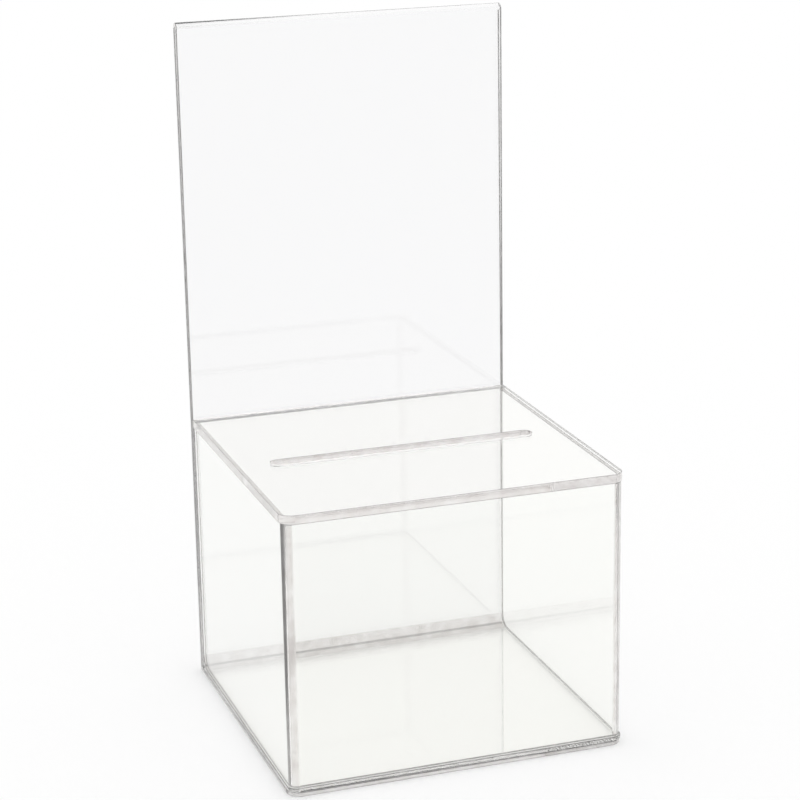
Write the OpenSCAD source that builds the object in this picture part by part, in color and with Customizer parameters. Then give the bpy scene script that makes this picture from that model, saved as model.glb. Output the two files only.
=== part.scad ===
// Clear ballot box with a tall folded sign header
// Seen from the front: +X to the right, +Y to the back, +Z up.
// The origin is the middle of the footprint, on the surface that the box stands on.

/* [Box] */
// Width of the lid, the base and the header
box_w = 228.6; // [150:0.1:400]
// Depth from the front edge of the lid to the front face of the header
box_d = 216; // [120:1:400]
// Height of the front and side walls
wall_h = 175.5; // [80:0.5:400]
// Thickness of the bent wall, floor and header sheets
sheet_t = 3; // [2:0.5:6]
// Outer radius of the two upright bends at the front
bend_r = 6; // [4:0.5:15]
// How far the lid and the base stand past the front and side walls
overhang = 1.1; // [0.5:0.1:6]

/* [Base] */
// Thickness of the plate under the floor
base_t = 3; // [2:0.5:8]
// Inner radius of the bend between floor and back wall
floor_bend_r = 8.5; // [5:0.5:20]

/* [Lid] */
// Thickness of the lid plate
lid_t = 6; // [3:0.5:10]
// Length of the ballot slot over its round ends
slot_l = 182; // [60:1:300]
// Width of the ballot slot
slot_w = 11; // [5:0.5:25]
// Distance from the front edge of the lid to the middle of the slot
slot_y = 104.2; // [40:0.1:300]
// Clearance between the back edge of the lid and the header
lid_gap = 0.3; // [0.2:0.1:2]

/* [Header] */
// Height of the header above the lid
header_h = 271.5; // [60:0.5:500]
// Gap between the two leaves of the header below the lid's top
leaf_gap = 0.4; // [0.2:0.1:2]
// Gap between the two leaves of the header at its top fold
fold_gap = 2.4; // [1:0.1:8]

/* [Quality] */
// Facets of a full circle
$fn = 48; // [24:8:96]

/* [Hidden] */
clear_tint = [0.93, 0.96, 0.95, 0.45];
edge_tint = [0.85, 0.88, 0.86, 0.7];
wall_w = box_w - 2 * overhang;
total_d = box_d + 2 * sheet_t + fold_gap;
front_y = -total_d / 2;
header_y = front_y + box_d;
wall_front_y = front_y + overhang;
back_wall_y = header_y - sheet_t;
floor_z = base_t;
wall_z = floor_z + sheet_t;
lid_z = wall_z + wall_h;
lid_top_z = lid_z + lid_t;
header_top_z = lid_top_z + header_h;
corner_r = bend_r + overhang;
fold_r = fold_gap / 2 + sheet_t;
fold_z = header_top_z - fold_r;
floor_bend_outer = floor_bend_r + sheet_t;

// A rectangle from the front edge backwards, with its two front corners rounded
module front_rounded(w, y_front, y_back, r) {
    translate([-w / 2, y_front + r])
        square([w, y_back - y_front - r]);
    translate([r - w / 2, y_front])
        square([w - 2 * r, 2 * r]);
    for (side = [-1, 1])
        translate([side * (w / 2 - r), y_front + r])
            circle(r);
}

// A straight slot with round ends, centred on the origin
module round_slot(length, width) {
    straight = length - width;
    square([straight, width], center = true);
    for (side = [-1, 1])
        translate([side * straight / 2, 0])
            circle(width / 2);
}

// Turns a drawing of y and z into a solid that runs across the given width
module across(w) {
    translate([-w / 2, 0, 0])
        rotate([90, 0, 90])
            linear_extrude(w)
                children();
}

// The L-shaped side view of the floor sheet and its upturned back wall
module floor_profile() {
    bend_y = header_y - floor_bend_outer;
    bend_z = floor_z + floor_bend_outer;
    translate([front_y, floor_z])
        square([bend_y - front_y, sheet_t]);
    translate([back_wall_y, bend_z])
        square([sheet_t, lid_z - bend_z]);
    translate([bend_y, bend_z])
        intersection() {
            difference() {
                circle(floor_bend_outer);
                circle(floor_bend_r);
            }
            translate([0, -floor_bend_outer])
                square(floor_bend_outer);
        }
}

// The outline of the space inside the floor bend, which the side walls fill
module side_profile() {
    bend_y = header_y - floor_bend_outer;
    bend_z = floor_z + floor_bend_outer;
    translate([wall_front_y, wall_z])
        square([bend_y - wall_front_y, wall_h]);
    translate([wall_front_y, bend_z])
        square([back_wall_y - wall_front_y, lid_z - bend_z]);
    translate([bend_y, bend_z])
        intersection() {
            circle(floor_bend_r);
            translate([0, -floor_bend_r])
                square(floor_bend_r);
        }
}

// The folded side view of the header: front leaf, top fold and rear leaf
module header_profile() {
    leaf_y = header_y + sheet_t;
    rear_low = leaf_y + leaf_gap;
    rear_top = leaf_y + fold_gap;
    translate([header_y, base_t])
        square([sheet_t, fold_z - base_t]);
    polygon([
        [rear_low, base_t],
        [rear_low + sheet_t, base_t],
        [rear_low + sheet_t, lid_top_z],
        [rear_top + sheet_t, fold_z],
        [rear_top, fold_z],
        [rear_low, lid_top_z]
    ]);
    translate([leaf_y + fold_gap / 2, fold_z])
        intersection() {
            difference() {
                circle(fold_r);
                circle(fold_gap / 2);
            }
            translate([-fold_r, 0])
                square([2 * fold_r, fold_r]);
        }
}

// Thin plate under the whole box and both leaves of the header
module base_plate() {
    color(edge_tint)
        linear_extrude(base_t)
            front_rounded(box_w, front_y, header_y + 2 * sheet_t + leaf_gap, corner_r);
}

// One sheet that is the floor and, past a round bend, the back wall
module floor_and_back() {
    color(clear_tint)
        intersection() {
            across(box_w)
                floor_profile();
            translate([0, 0, floor_z])
                linear_extrude(lid_z - floor_z)
                    front_rounded(box_w, front_y, header_y, corner_r);
        }
}

// One sheet bent twice: left wall, front wall and right wall
module front_and_sides() {
    inner_w = wall_w - 2 * sheet_t;
    color(clear_tint)
        intersection() {
            across(wall_w)
                side_profile();
            translate([0, 0, wall_z])
                linear_extrude(wall_h)
                    difference() {
                        front_rounded(wall_w, wall_front_y, back_wall_y, bend_r);
                        front_rounded(inner_w, wall_front_y + sheet_t,
                                      back_wall_y + bend_r, bend_r - sheet_t);
                    }
        }
}

// Flat lid with the round-ended ballot slot through it
module lid() {
    color(clear_tint)
        translate([0, 0, lid_z])
            linear_extrude(lid_t)
                difference() {
                    front_rounded(box_w, front_y, header_y - lid_gap, corner_r);
                    translate([0, front_y + slot_y])
                        round_slot(slot_l, slot_w);
                }
}

// One sheet folded over at the top, open at both sides for a printed sign
module header() {
    color(clear_tint)
        across(box_w)
            header_profile();
}

base_plate();
floor_and_back();
front_and_sides();
lid();
header();
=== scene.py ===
"""Looks of the clear ballot box with its folded sign header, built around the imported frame."""

import logging
import math
from dataclasses import dataclass
from enum import Enum

import bmesh
import bpy
from mathutils import Matrix, Vector

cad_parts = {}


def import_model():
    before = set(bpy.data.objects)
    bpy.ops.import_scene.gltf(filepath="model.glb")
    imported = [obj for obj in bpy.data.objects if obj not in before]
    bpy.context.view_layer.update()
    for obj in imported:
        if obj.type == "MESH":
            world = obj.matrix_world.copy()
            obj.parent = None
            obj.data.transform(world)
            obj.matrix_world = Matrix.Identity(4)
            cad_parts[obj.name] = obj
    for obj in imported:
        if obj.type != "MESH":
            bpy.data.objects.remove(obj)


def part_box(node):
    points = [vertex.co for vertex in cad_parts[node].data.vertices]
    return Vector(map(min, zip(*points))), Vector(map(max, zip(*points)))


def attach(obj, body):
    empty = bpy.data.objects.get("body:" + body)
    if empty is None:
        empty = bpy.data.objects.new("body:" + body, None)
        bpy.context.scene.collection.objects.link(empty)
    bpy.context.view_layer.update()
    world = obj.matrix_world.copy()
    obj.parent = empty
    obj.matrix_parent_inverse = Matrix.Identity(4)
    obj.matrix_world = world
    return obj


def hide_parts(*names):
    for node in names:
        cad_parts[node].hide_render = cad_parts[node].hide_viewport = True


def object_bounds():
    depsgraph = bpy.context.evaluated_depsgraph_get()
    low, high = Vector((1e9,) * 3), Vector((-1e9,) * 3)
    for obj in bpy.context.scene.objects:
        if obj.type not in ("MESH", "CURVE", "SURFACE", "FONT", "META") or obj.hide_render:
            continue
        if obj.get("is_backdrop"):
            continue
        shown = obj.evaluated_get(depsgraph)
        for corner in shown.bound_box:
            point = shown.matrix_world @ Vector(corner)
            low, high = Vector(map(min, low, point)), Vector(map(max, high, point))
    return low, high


log = logging.getLogger("ballot_box")

MM = 0.001
ACROSS = Vector((1, 0, 0))
UP = Vector((0, 0, 1))

# Every bent piece is made of one thickness of sheet.
SHEET = 3 * MM
# Pieces that touch stay this far apart, so that no two clear faces share a plane.
SEAM = 0.04 * MM
# Points closer than this are one point.
TOUCH = 0.01 * MM

# An arc has at least this many chords, and otherwise chords of this length.
ARC_LEAST = 5
CHORD = 0.9 * MM
# A rounded corner cut into a finished sheet has this many steps.
CORNER_STEPS = 12

# Every edge sharper than this angle is polished round by this much, in so many steps.
BEVEL_ANGLE = math.radians(60)
POLISH = 0.4 * MM
POLISH_STEPS = 2
# Faces that differ by less than this angle are merged.
FLAT_ANGLE = math.radians(0.05)
# A face is shaded flat where its normal has at least this much along one axis.
FLAT_ENOUGH = 0.999

# A plate's rim has less than this much of its normal upright.
RIM_MOST = 0.5
# A sheet's cut edges have more than this much of their normal along the given direction.
CUT_LEAST = 0.9
# Its bends have less than this much there, and in the pieces named here get the cut edge's material
# as painted shade.
BEND_MOST = 0.1
BENT = ("floor_and_back", "front_and_sides")
# A plate has its cut edge all round, so it gives no direction.
ALL_ROUND = Vector()

ACRYLIC_IOR = 1.49
# Light crosses many clear faces on its way through the box.
LIGHT_BOUNCES = 48


class Plane(Enum):
    """The plane that an outline is drawn in."""

    FLAT = "xy"
    SIDE = "yz"


class Part(Enum):
    """Material slots of a piece: sheet face, cut edge (also laid on bends as painted shade) and the
    painted shade line along a corner.
    """

    FACE = 0
    EDGE = 1
    CORNER = 2


@dataclass(frozen=True)
class ClearFinish:
    """Polished clear sheet: even tint, faint waves and handling marks.

    Attributes:
        name: Name of the material.
        tint: Colour that light keeps on its way through one sheet.
        wave_scale: Scale of the noise that makes the waves.
        wave_strength: Strength of the waves.
        wave_height: Height of the waves.
        smear_scale: Scale of the noise that makes the smears.
        smear_detail: Detail of that noise.
        smear_span: Values of that noise where smears begin and are full.
        smear_rough: Roughness with no smear and with a full one.
        passing: Share of the light that one face lets past on its way to the floor.
    """

    name: str
    tint: tuple[float, float, float]
    wave_scale: float = 14
    wave_strength: float = 0.012
    wave_height: float = MM
    smear_scale: float = 9
    smear_detail: float = 6
    smear_span: tuple[float, float] = (0.45, 0.8)
    smear_rough: tuple[float, float] = (0, 0.03)
    passing: float = 0.99

    def material(self) -> bpy.types.Material:
        """Builds the material.

        Returns:
            The material, with noise-driven waves and smears.
        """
        mat, shader = new_principled(self.name)
        shader.inputs["Base Color"].default_value = (*self.tint, 1)
        shader.inputs["Transmission Weight"].default_value = 1
        shader.inputs["IOR"].default_value = ACRYLIC_IOR
        raise_surface(mat, add_noise(mat, self.wave_scale), self.wave_strength, self.wave_height)
        smear = add_noise(mat, self.smear_scale, self.smear_detail)
        roughen(mat, smear, self.smear_span, self.smear_rough)
        let_light_through(mat, self.passing)
        return mat


@dataclass(frozen=True)
class EdgeFinishAndPaintedShade:
    """Sawn and scraped edge of the sheet: half frosted and mottled; in dark colours the same finish
    makes the painted shade lines along polished corners.

    Attributes:
        name: Name of the material.
        light: Colour of the clearer patches.
        dark: Colour of the sawn patches, and the darker tone of the painted shade lines.
        clearness: Share of the light that goes into the sheet.
        mottle_scale: Scale of the noise that makes the patches.
        mottle_detail: Detail of that noise.
        mottle_span: Values of that noise where patches are fully dark and fully light.
        mottle_rough: Roughness at the noise's two ends.
        grain_scale: Scale of the noise that makes the saw's grain.
        grain_strength: Strength of the grain.
        grain_height: Height of the grain.
        passing: Share of the light that one face lets past on its way to the floor.
    """

    name: str
    light: tuple[float, float, float]
    dark: tuple[float, float, float]
    clearness: float = 0.8
    mottle_scale: float = 120
    mottle_detail: float = 4
    mottle_span: tuple[float, float] = (0.35, 0.68)
    mottle_rough: tuple[float, float] = (0.04, 0.18)
    grain_scale: float = 900
    grain_strength: float = 0.05
    grain_height: float = 0.1 * MM
    passing: float = 0.72

    def material(self) -> bpy.types.Material:
        """Builds the material.

        Returns:
            The material, with its mottled colour, frost and grain.
        """
        mat, shader = new_principled(self.name)
        nodes, links = mat.node_tree.nodes, mat.node_tree.links
        shader.inputs["Transmission Weight"].default_value = self.clearness
        shader.inputs["IOR"].default_value = ACRYLIC_IOR
        mottle = add_noise(mat, self.mottle_scale, self.mottle_detail)
        ramp = nodes.new("ShaderNodeValToRGB")
        stops = zip(ramp.color_ramp.elements, self.mottle_span, (self.dark, self.light))
        for stop, position, colour in stops:
            stop.position = position
            stop.color = (*colour, 1)
        links.new(mottle, ramp.inputs["Fac"])
        links.new(ramp.outputs["Color"], shader.inputs["Base Color"])
        roughen(mat, mottle, (0, 1), self.mottle_rough)
        raise_surface(mat, add_noise(mat, self.grain_scale), self.grain_strength, self.grain_height)
        let_light_through(mat, self.passing)
        return mat


def new_principled(name: str) -> tuple[bpy.types.Material, bpy.types.ShaderNode]:
    """Makes a material with a bare principled shader.

    Args:
        name: Name of the material.

    Returns:
        The material and its shader node.
    """
    mat = bpy.data.materials.new(name)
    mat.use_nodes = True
    return mat, mat.node_tree.nodes["Principled BSDF"]


def add_noise(mat: bpy.types.Material, scale: float, detail: float = 2) -> bpy.types.NodeSocket:
    """Adds a noise that is fixed to the piece.

    Args:
        mat: Material that gets the noise.
        scale: Scale of the noise.
        detail: Detail of the noise.

    Returns:
        The noise's output, from 0 to 1.
    """
    nodes = mat.node_tree.nodes
    coords = nodes.new("ShaderNodeTexCoord")
    noise = nodes.new("ShaderNodeTexNoise")
    noise.inputs["Scale"].default_value = scale
    noise.inputs["Detail"].default_value = detail
    mat.node_tree.links.new(coords.outputs["Object"], noise.inputs["Vector"])
    return noise.outputs["Fac"]


def raise_surface(mat: bpy.types.Material, noise: bpy.types.NodeSocket, strength: float,
                  height: float) -> None:
    """Lets a noise raise the surface.

    Args:
        mat: Material with a principled shader.
        noise: Output of the noise.
        strength: Strength of the effect.
        height: Height that the full noise raises the surface by, in metres.
    """
    nodes, links = mat.node_tree.nodes, mat.node_tree.links
    bump = nodes.new("ShaderNodeBump")
    bump.inputs["Strength"].default_value = strength
    bump.inputs["Distance"].default_value = height
    links.new(noise, bump.inputs["Height"])
    links.new(bump.outputs["Normal"], nodes["Principled BSDF"].inputs["Normal"])


def roughen(mat: bpy.types.Material, noise: bpy.types.NodeSocket, span: tuple[float, float],
            rough: tuple[float, float]) -> None:
    """Lets a noise set the roughness.

    Args:
        mat: Material with a principled shader.
        noise: Output of the noise.
        span: Values of the noise where the change begins and ends.
        rough: Roughness at those two values.
    """
    nodes, links = mat.node_tree.nodes, mat.node_tree.links
    remap = nodes.new("ShaderNodeMapRange")
    remap.inputs["From Min"].default_value, remap.inputs["From Max"].default_value = span
    remap.inputs["To Min"].default_value, remap.inputs["To Max"].default_value = rough
    links.new(noise, remap.inputs["Value"])
    links.new(remap.outputs["Result"], nodes["Principled BSDF"].inputs["Roughness"])


def let_light_through(mat: bpy.types.Material, passing: float) -> None:
    """Lets light that falls on what is behind the sheet pass it straight.

    Args:
        mat: Material with a principled shader.
        passing: Share of the light that one face lets past.
    """
    nodes, links = mat.node_tree.nodes, mat.node_tree.links
    path = nodes.new("ShaderNodeLightPath")
    either = nodes.new("ShaderNodeMath")
    either.operation = "MAXIMUM"
    clear = nodes.new("ShaderNodeBsdfTransparent")
    clear.inputs["Color"].default_value = (passing, passing, passing, 1)
    mix = nodes.new("ShaderNodeMixShader")
    links.new(path.outputs["Is Shadow Ray"], either.inputs[0])
    links.new(path.outputs["Is Diffuse Ray"], either.inputs[1])
    links.new(either.outputs[0], mix.inputs["Fac"])
    links.new(nodes["Principled BSDF"].outputs["BSDF"], mix.inputs[1])
    links.new(clear.outputs["BSDF"], mix.inputs[2])
    links.new(mix.outputs["Shader"], nodes["Material Output"].inputs["Surface"])


class Outline:
    """A closed outline drawn by extruding and spinning its last point."""

    def __init__(self, bm: bmesh.types.BMesh, plane: Plane, start: tuple[float, float]) -> None:
        """Starts an outline.

        Args:
            bm: Mesh that the outline is drawn in.
            plane: Plane of the drawing.
            start: First point, in the plane's own two directions.
        """
        self.bm = bm
        self.plane = plane
        self.tip = bmesh.ops.create_vert(bm, co=self.place(*start))["vert"][0]

    def place(self, a: float, b: float) -> Vector:
        """Turns two plane coordinates into a point in space."""
        return Vector((a, b, 0)) if self.plane is Plane.FLAT else Vector((0, a, b))

    def line(self, a: float, b: float) -> "Outline":
        """Draws a straight line.

        Args:
            a: The end's first coordinate in the plane.
            b: The end's second coordinate.

        Returns:
            The outline itself, so that strokes can follow each other.
        """
        out = bmesh.ops.extrude_vert_indiv(self.bm, verts=[self.tip])
        self.tip = out["verts"][0]
        self.tip.co = self.place(a, b)
        return self

    def arc(self, a: float, b: float, degrees: float) -> "Outline":
        """Draws an arc.

        Args:
            a: The centre's first coordinate in the plane.
            b: The centre's second coordinate.
            degrees: Angle of the arc, anticlockwise where positive.

        Returns:
            The outline itself, so that strokes can follow each other.
        """
        radius = (self.tip.co - self.place(a, b)).length
        angle = math.radians(degrees)
        out = bmesh.ops.spin(
            self.bm, geom=[self.tip], cent=self.place(a, b),
            axis=UP if self.plane is Plane.FLAT else ACROSS, angle=angle,
            steps=max(ARC_LEAST, round(abs(angle) * radius / CHORD)), use_duplicate=False)
        self.tip = next(v for v in out["geom_last"] if isinstance(v, bmesh.types.BMVert))
        return self


def solid(bm: bmesh.types.BMesh, push: Vector) -> None:
    """Fills the outlines drawn in bm and gives them thickness.

    Args:
        bm: Mesh that holds closed outlines in one plane; inner outlines become holes.
        push: Thickness and direction of the solid.
    """
    bmesh.ops.remove_doubles(bm, verts=bm.verts[:], dist=TOUCH)
    bmesh.ops.triangle_fill(bm, edges=bm.edges[:], use_beauty=True, use_dissolve=False)
    bmesh.ops.dissolve_limit(bm, angle_limit=FLAT_ANGLE, use_dissolve_boundaries=False,
                             verts=[], edges=bm.edges[:])
    out = bmesh.ops.extrude_face_region(bm, geom=bm.faces[:])
    moved = [v for v in out["geom"] if isinstance(v, bmesh.types.BMVert)]
    bmesh.ops.translate(bm, verts=moved, vec=push)
    bmesh.ops.recalc_face_normals(bm, faces=bm.faces[:])


def solid_across(bm: bmesh.types.BMesh, x_low: float, x_high: float) -> None:
    """Makes a side outline into a solid that runs from x_low to x_high."""
    solid(bm, Vector((x_high - x_low, 0, 0)))
    bmesh.ops.translate(bm, verts=bm.verts[:], vec=Vector((x_low, 0, 0)))


def round_corners(bm: bmesh.types.BMesh, edges: list[bmesh.types.BMEdge], radius: float) -> None:
    """Rounds the corners that stand at the given edges of a sheet."""
    bmesh.ops.bevel(bm, geom=edges, offset=radius, offset_type="OFFSET", affect="EDGES",
                    segments=CORNER_STEPS, profile=0.5, material=-1)


def polish(bm: bmesh.types.BMesh) -> None:
    """Polishes every sharp edge of bm round and marks the strips that this makes as corners, which
    carry a painted dark shade line.

    Args:
        bm: The piece's mesh, closed and with its normals outwards.
    """
    sharp = [e for e in bm.edges if len(e.link_faces) == 2 and e.calc_face_angle(0) > BEVEL_ANGLE]
    out = bmesh.ops.bevel(bm, geom=sharp, offset=POLISH, offset_type="OFFSET", affect="EDGES",
                          segments=POLISH_STEPS, profile=0.5, material=-1, clamp_overlap=True)
    for face in out["faces"]:
        face.material_index = Part.CORNER.value


def part_of(face: bmesh.types.BMFace, ends: Vector, bent: bool) -> Part:
    """Says which material slot a face belongs to.

    Args:
        face: Face with its normal up to date and its smooth flag set.
        ends: Direction that the sheet's cut edges face, or ALL_ROUND for a plate.
        bent: Whether the piece's bends get the cut edge's material as painted shade.

    Returns:
        The slot.
    """
    if face.material_index == Part.CORNER.value:
        return Part.CORNER
    along = abs(face.normal.dot(ends))
    cut = abs(face.normal.z) < RIM_MOST if ends == ALL_ROUND else along > CUT_LEAST
    # Painted shade: bend faces take the cut edge's greyer, mottled material.
    painted_bend_shade = bent and face.smooth and along < BEND_MOST
    return Part.EDGE if cut or painted_bend_shade else Part.FACE


def finish_piece(bm: bmesh.types.BMesh, name: str, ends: Vector, mats: list[bpy.types.Material],
                 body: str) -> None:
    """Turns a mesh into a dressed piece that stands for the CAD node of its name.

    Args:
        bm: The finished mesh, which this frees.
        name: The CAD node's name.
        ends: Direction that the sheet's cut edges face, or ALL_ROUND for a plate.
        mats: The materials, in the order of Part.
        body: The CAD body that the piece rides on.
    """
    bm.normal_update()
    for face in bm.faces:
        face.smooth = max(abs(c) for c in face.normal) < FLAT_ENOUGH
        face.material_index = part_of(face, ends, name in BENT).value
    mesh = bpy.data.meshes.new(name + "_look")
    bm.to_mesh(mesh)
    bm.free()
    for mat in mats:
        mesh.materials.append(mat)
    obj = bpy.data.objects.new(name + "_look", mesh)
    bpy.context.scene.collection.objects.link(obj)
    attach(obj, body)
    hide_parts(name)
    log.info("%s: %d faces", name, len(mesh.polygons))


@dataclass
class Plates:
    """The lid with its slot, and the thin plate under the box.

    Attributes:
        mats: Clear material, cut edge and painted corner shade.
        corner_r: Radius of the plates' front corners.
        slot_l: Length of the ballot slot.
        slot_w: Width of the slot.
        slot_y: Distance from the lid's front edge to the slot's middle.
    """

    mats: list[bpy.types.Material]
    corner_r: float = 9 * MM
    slot_l: float = 182 * MM
    slot_w: float = 11 * MM
    slot_y: float = 104.2 * MM

    def outline(self, bm: bmesh.types.BMesh, node: str) -> tuple[Vector, Vector]:
        """Draws a plate's outline, with rounded front corners, in the plane z = 0.

        Args:
            bm: Mesh that the outline is drawn in.
            node: The plate's CAD node.

        Returns:
            The lowest and the highest corner of the CAD node's box.
        """
        low, high = (Vector(v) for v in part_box(node))
        r = self.corner_r
        pen = Outline(bm, Plane.FLAT, (low.x, high.y))
        pen.line(low.x, low.y + r).arc(low.x + r, low.y + r, 90)
        pen.line(high.x - r, low.y).arc(high.x - r, low.y + r, 90)
        pen.line(high.x, high.y).line(low.x, high.y)
        return low, high

    def base(self) -> None:
        """Builds the plate under the box."""
        bm = bmesh.new()
        low, high = self.outline(bm, "base_plate")
        solid(bm, UP * (high.z - low.z - SEAM))
        polish(bm)
        finish_piece(bm, "base_plate", ALL_ROUND, self.mats, "box")

    def lid(self) -> None:
        """Builds the lid with its round-ended slot."""
        bm = bmesh.new()
        low, high = self.outline(bm, "lid")
        half = (self.slot_l - self.slot_w) / 2
        r = self.slot_w / 2
        y = low.y + self.slot_y
        pen = Outline(bm, Plane.FLAT, (-half, y + r))
        pen.arc(-half, y, 180).line(half, y - r).arc(half, y, 180).line(-half, y + r)
        solid(bm, UP * (high.z - low.z - SEAM))
        polish(bm)
        bmesh.ops.translate(bm, verts=bm.verts[:], vec=UP * (low.z + SEAM))
        finish_piece(bm, "lid", ALL_ROUND, self.mats, "lid")


@dataclass
class Walls:
    """The floor with its upturned back wall, and the twice-bent front and sides.

    Attributes:
        mats: Clear material, cut edge, which the bends also carry as painted shade, and painted
            corner shade.
        bend_r: Outer radius of the bends between front and sides.
        floor_bend_r: Inner radius of the bend between floor and back wall.
        corner_r: Radius of the floor's front corners.
    """

    mats: list[bpy.types.Material]
    bend_r: float = 6 * MM
    floor_bend_r: float = 8.5 * MM
    corner_r: float = 7.1 * MM

    def floor_and_back(self) -> None:
        """Builds the L-shaped sheet, with rounded front corners."""
        low, high = (Vector(v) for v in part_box("floor_and_back"))
        outer = self.floor_bend_r + SHEET
        bend_y, bend_z = high.y - outer, low.z + outer
        bm = bmesh.new()
        pen = Outline(bm, Plane.SIDE, (low.y, low.z + SEAM))
        pen.line(bend_y, low.z + SEAM).arc(bend_y, bend_z, 90).line(high.y - SEAM, high.z)
        pen.line(high.y - SHEET, high.z).line(high.y - SHEET, bend_z)
        pen.arc(bend_y, bend_z, -90).line(low.y, low.z + SHEET).line(low.y, low.z + SEAM)
        solid_across(bm, low.x, high.x)
        fronts = [e for e in bm.edges if all(v.co.y < low.y + TOUCH for v in e.verts)
                  and abs(e.verts[0].co.z - e.verts[1].co.z) > SHEET / 2]
        round_corners(bm, fronts, self.corner_r)
        polish(bm)
        finish_piece(bm, "floor_and_back", ACROSS, self.mats, "box")

    def front_and_sides(self) -> None:
        """Builds the U-shaped sheet, its rear lower corners rounded to sit in the floor bend."""
        low, high = (Vector(v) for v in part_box("front_and_sides"))
        r, inner = self.bend_r, self.bend_r - SHEET
        bm = bmesh.new()
        pen = Outline(bm, Plane.FLAT, (low.x, high.y - SEAM))
        pen.line(low.x, low.y + r).arc(low.x + r, low.y + r, 90)
        pen.line(high.x - r, low.y).arc(high.x - r, low.y + r, 90)
        pen.line(high.x, high.y - SEAM).line(high.x - SHEET, high.y - SEAM)
        pen.line(high.x - SHEET, low.y + SHEET + inner).arc(high.x - r, low.y + r, -90)
        pen.line(low.x + r, low.y + SHEET).arc(low.x + r, low.y + r, -90)
        pen.line(low.x + SHEET, high.y - SEAM).line(low.x, high.y - SEAM)
        solid(bm, UP * (high.z - low.z - 2 * SEAM))
        bmesh.ops.translate(bm, verts=bm.verts[:], vec=UP * (low.z + SEAM))
        rear_low = [e for e in bm.edges
                    if all(v.co.y > high.y - 2 * SEAM and v.co.z < low.z + 2 * SEAM for v in e.verts)]
        round_corners(bm, rear_low, self.floor_bend_r)
        polish(bm)
        finish_piece(bm, "front_and_sides", UP, self.mats, "box")


@dataclass
class Header:
    """The sheet folded over at the top that holds a printed sign.

    Attributes:
        mats: Clear material, cut edge and painted corner shade.
        leaf_gap: Gap between the leaves behind the box.
        fold_gap: Gap between the leaves at the fold.
    """

    mats: list[bpy.types.Material]
    leaf_gap: float = 0.4 * MM
    fold_gap: float = 2.4 * MM

    def build(self) -> None:
        """Builds front leaf, top fold and rear leaf as one sheet."""
        low, high = (Vector(v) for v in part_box("header"))
        lid_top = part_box("lid")[1][2]
        foot = low.z + SEAM
        leaf = low.y + SHEET
        fold_y = leaf + self.fold_gap / 2
        fold_z = high.z - (self.fold_gap / 2 + SHEET)
        rear_low, rear_top = leaf + self.leaf_gap, leaf + self.fold_gap
        bm = bmesh.new()
        pen = Outline(bm, Plane.SIDE, (low.y, foot))
        pen.line(leaf, foot).line(leaf, fold_z).arc(fold_y, fold_z, -180)
        pen.line(rear_low, lid_top).line(rear_low, foot).line(rear_low + SHEET, foot)
        pen.line(rear_low + SHEET, lid_top).line(rear_top + SHEET, fold_z)
        pen.arc(fold_y, fold_z, 180).line(low.y, fold_z).line(low.y, foot)
        solid_across(bm, low.x, high.x)
        polish(bm)
        finish_piece(bm, "header", ACROSS, self.mats, "box")


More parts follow.
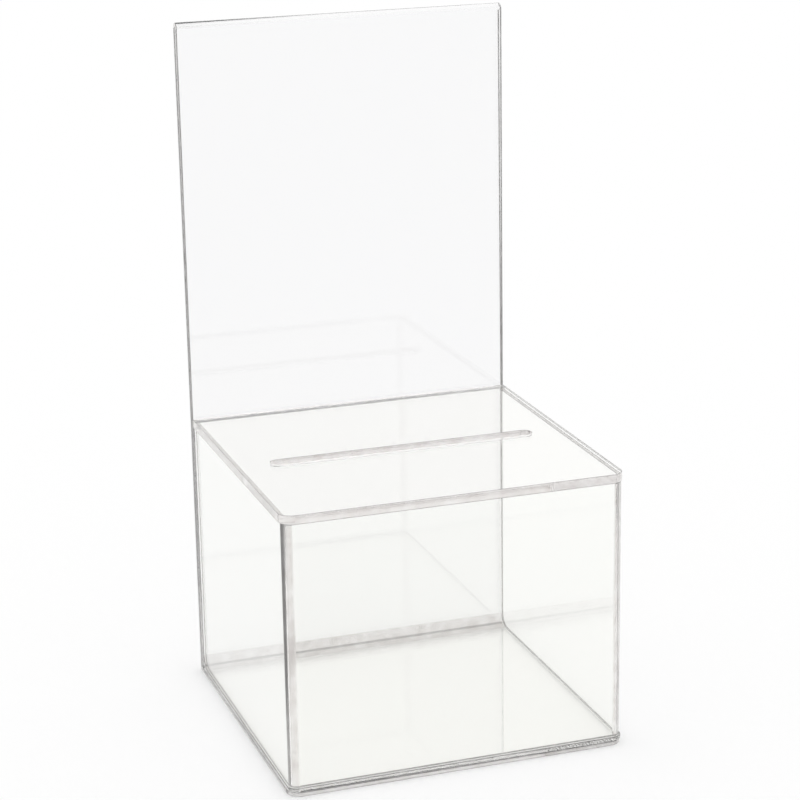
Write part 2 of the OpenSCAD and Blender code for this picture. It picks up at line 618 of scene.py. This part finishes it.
@dataclass(frozen=True)
class Studio:
    """Even white surround, white floor and the photograph's camera.

    Attributes:
        frame: Side of the square photograph, in pixels.
        focal: Focal length in pixels.
        yaw: Turn of the view to the right, in degrees.
        pitch: Tilt of the view downwards, in degrees.
        roll: Turn of the picture, in degrees.
        place: Where the camera stands, in metres.
        sensor: Width of the sensor, in millimetres.
        reach: Distance that the camera sees, in metres.
        floor_side: Side of the square floor, in metres.
        floor_drop: Gap between the floor and the box's underside, in metres.
    """

    frame: float = 800
    focal: float = 2429.6
    yaw: float = 18.715
    pitch: float = 16.707
    roll: float = 0.963
    place: tuple[float, float, float] = (-0.49104, -1.4527, 0.67786)
    sensor: float = 36
    reach: float = 20
    floor_side: float = 12
    floor_drop: float = 0.2 * MM

    def camera(self) -> None:
        """Creates the camera and makes it the scene's own."""
        yaw, pitch, roll = (math.radians(v) for v in (self.yaw, self.pitch, self.roll))
        level = Vector((math.sin(yaw) * math.cos(pitch), math.cos(yaw) * math.cos(pitch), 0))
        ahead = level - UP * math.sin(pitch)
        right = Vector((math.cos(yaw), -math.sin(yaw), 0))
        down = ahead.cross(right)
        x_axis = math.cos(roll) * right + math.sin(roll) * down
        y_axis = math.sin(roll) * right - math.cos(roll) * down
        turn = Matrix((x_axis, y_axis, -ahead)).transposed().to_4x4()
        data = bpy.data.cameras.new("photo_camera")
        data.sensor_width = self.sensor
        data.lens = self.sensor * self.focal / self.frame
        data.clip_end = self.reach
        cam = bpy.data.objects.new("photo_camera", data)
        cam.matrix_world = Matrix.Translation(self.place) @ turn
        bpy.context.scene.collection.objects.link(cam)
        bpy.context.scene.camera = cam

    def surround(self) -> None:
        """Makes the white floor and the even white light from all round."""
        bpy.ops.mesh.primitive_plane_add(size=self.floor_side, location=(0, 0, -self.floor_drop))
        floor = bpy.context.object
        floor.name = "studio_floor"
        mat, shader = new_principled("studio_white")
        shader.inputs["Base Color"].default_value = (1, 1, 1, 1)
        shader.inputs["Roughness"].default_value = 1
        shader.inputs["Specular IOR Level"].default_value = 0
        floor.data.materials.append(mat)
        floor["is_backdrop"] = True
        world = bpy.data.worlds.new("even_white")
        world.use_nodes = True
        background = world.node_tree.nodes["Background"]
        background.inputs["Color"].default_value = (1, 1, 1, 1)
        background.inputs["Strength"].default_value = 1
        scene = bpy.context.scene
        scene.world = world
        scene.view_settings.view_transform = "Standard"
        scene.cycles.max_bounces = LIGHT_BOUNCES
        scene.cycles.transmission_bounces = LIGHT_BOUNCES
        scene.cycles.glossy_bounces = LIGHT_BOUNCES
        scene.cycles.diffuse_bounces = LIGHT_BOUNCES
        scene.cycles.transparent_max_bounces = LIGHT_BOUNCES


SAWN_EDGE = EdgeFinishAndPaintedShade("sawn_edge", light=(0.97, 0.96, 0.95), dark=(0.8, 0.77, 0.75))
# Painted shade: the polished corner strips get this dark colour, so that a dark line runs along every
# edge of the clear sheets.
PAINTED_CORNER_SHADE = EdgeFinishAndPaintedShade("painted_corner_shade", light=(0.36, 0.355, 0.35), dark=(0.2, 0.195, 0.19),
                            clearness=0.25)
CLEAR_WALL = ClearFinish("clear_wall", tint=(0.996, 0.998, 0.985))
CLEAR_PLATE = ClearFinish("clear_plate", tint=(0.998, 0.993, 0.982))
CLEAR_HEADER = ClearFinish("clear_header", tint=(0.972, 0.972, 0.974))


def main() -> list[list[float]]:
    """Builds the whole scene.

    Returns:
        The CAD model's box, as its lowest and highest corner.
    """
    logging.basicConfig(level=logging.INFO)
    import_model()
    cad_box = [list(v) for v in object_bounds()]
    edges = [SAWN_EDGE.material(), PAINTED_CORNER_SHADE.material()]
    plates = Plates([CLEAR_PLATE.material(), *edges])
    plates.base()
    walls = Walls([CLEAR_WALL.material(), *edges])
    walls.floor_and_back()
    walls.front_and_sides()
    Header([CLEAR_HEADER.material(), *edges]).build()
    plates.lid()
    studio = Studio()
    studio.surround()
    studio.camera()
    return cad_box


if __name__ == "__main__":
    box_before = main()
